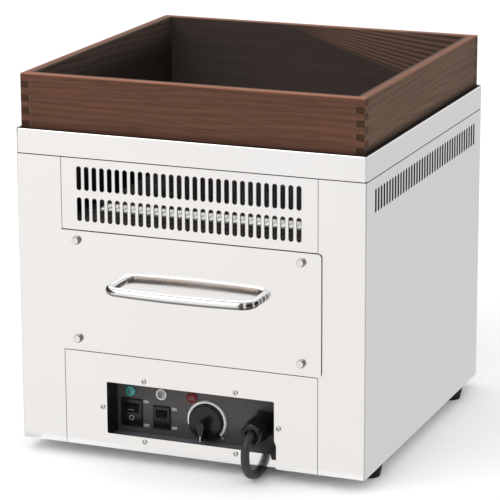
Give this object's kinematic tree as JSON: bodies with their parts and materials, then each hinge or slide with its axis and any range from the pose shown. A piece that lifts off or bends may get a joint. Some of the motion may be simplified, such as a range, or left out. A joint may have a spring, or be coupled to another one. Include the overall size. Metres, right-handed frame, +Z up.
{
  "type": "electric roaster",
  "caption": "Boxed stainless steel electric roaster with a front drawer on rails, a recessed control panel with switches and timer, vents, and a finger-jointed wooden box on top.",
  "frame": {"origin": "on the table, under the middle of the roaster's outline including its drawer handle", "axes": "+X to the right side, +Y to the rear, +Z up, as seen from the front"},
  "size_m": [0.4, 0.5933, 0.423],
  "materials": {
    "polished_steel": "polished stainless steel sheet",
    "satin_steel": "satin stainless steel sheet",
    "zinc_steel": "bright zinc plated steel",
    "bright_chrome": "bright chrome plate",
    "heater_sheath": "dark oxidised heater sheath",
    "dark_plate": "dark grey satin paint",
    "black_plastic": "black moulded plastic",
    "block_plastic": "cream moulded plastic",
    "green_lens": "green lamp lens",
    "clear_lens": "clear lamp lens",
    "red_lens": "red lamp lens",
    "foot_rubber": "black rubber",
    "cord_rubber": "black cord sheath",
    "pin_brass": "brass blades",
    "stained_wood": "dark red-brown stained wood with open grain",
    "fibre_blanket": "white ceramic fibre blanket"
  },
  "bodies": {
    "casing": {"base_pan": "polished_steel", "foot_nuts": "zinc_steel", "right_side_panel": "polished_steel", "left_side_panel": "polished_steel", "rear_panel": "polished_steel", "rear_panel_screws": "zinc_steel", "upper_vent_panel": "polished_steel", "lower_front_panel": "polished_steel", "lower_panel_screws": "zinc_steel", "top_collar": "polished_steel", "warming_plate": "satin_steel", "roasting_chamber": "satin_steel", "chamber_insulation": "fibre_blanket", "insulation_jacket": "zinc_steel", "chamber_stands": "satin_steel", "upper_heater": "heater_sheath", "lower_heater": "heater_sheath", "heater_brackets": "zinc_steel", "drawer_rails": "satin_steel", "thermostat": "zinc_steel", "control_housing": "dark_plate", "control_plate": "dark_plate", "main_switch_housing": "black_plastic", "buzzer_switch_housing": "black_plastic", "lamp_bezels": "bright_chrome", "timer_unit": "black_plastic", "timer_dial_ring": "bright_chrome", "gland_body": "black_plastic", "gland_nut": "black_plastic", "terminal_block": "block_plastic", "buzzer": "black_plastic", "power_cord": "cord_rubber", "cord_coil": "cord_rubber", "plug_body": "cord_rubber", "plug_pins": "pin_brass", "foot_front_left": "foot_rubber", "foot_front_right": "foot_rubber", "foot_rear_left": "foot_rubber", "foot_rear_right": "foot_rubber", "power_lamp_lens": "green_lens", "high_temperature_lamp_lens": "clear_lens", "heating_lamp_lens": "red_lens"},
    "drawer": {"drawer_front": "polished_steel", "drawer_spacers": "zinc_steel", "drawer_bolts": "zinc_steel", "drawer_handle": "bright_chrome", "handle_screws": "zinc_steel", "drawer_inner_front": "satin_steel", "drawer_pan": "satin_steel", "drawer_runners": "satin_steel", "drip_tray": "satin_steel", "roasting_rack": "bright_chrome"},
    "top_box": {"front_board": "stained_wood", "rear_board": "stained_wood", "left_board": "stained_wood", "right_board": "stained_wood"},
    "timer_dial": {"timer_knob": "black_plastic", "timer_shaft": "bright_chrome"},
    "main_rocker": {"main_switch_rocker": "black_plastic"},
    "buzzer_rocker": {"buzzer_switch_rocker": "black_plastic"}
  },
  "joints": [
    {"name": "drawer_slide", "type": "slide", "parent": "casing", "child": "drawer", "axis": [0, -1, 0], "range_m": [0, 0.27]},
    {"name": "top_box_lift", "type": "slide", "parent": "casing", "child": "top_box", "axis": [0, 0, 1], "range_m": [0, 0.12]},
    {"name": "timer_turn", "type": "hinge", "parent": "casing", "child": "timer_dial", "pos_m": [0.0076, -0.1506, 0.0475], "axis": [0, 1, 0], "range_deg": [0, 300]},
    {"name": "main_rocker_tilt", "type": "hinge", "parent": "casing", "child": "main_rocker", "pos_m": [-0.0819, -0.1503, 0.0471], "axis": [-1, 0, 0], "range_deg": [0, 14]},
    {"name": "buzzer_rocker_tilt", "type": "hinge", "parent": "casing", "child": "buzzer_rocker", "pos_m": [-0.046, -0.1503, 0.045], "axis": [-1, 0, 0], "range_deg": [0, 14]}
  ]
}
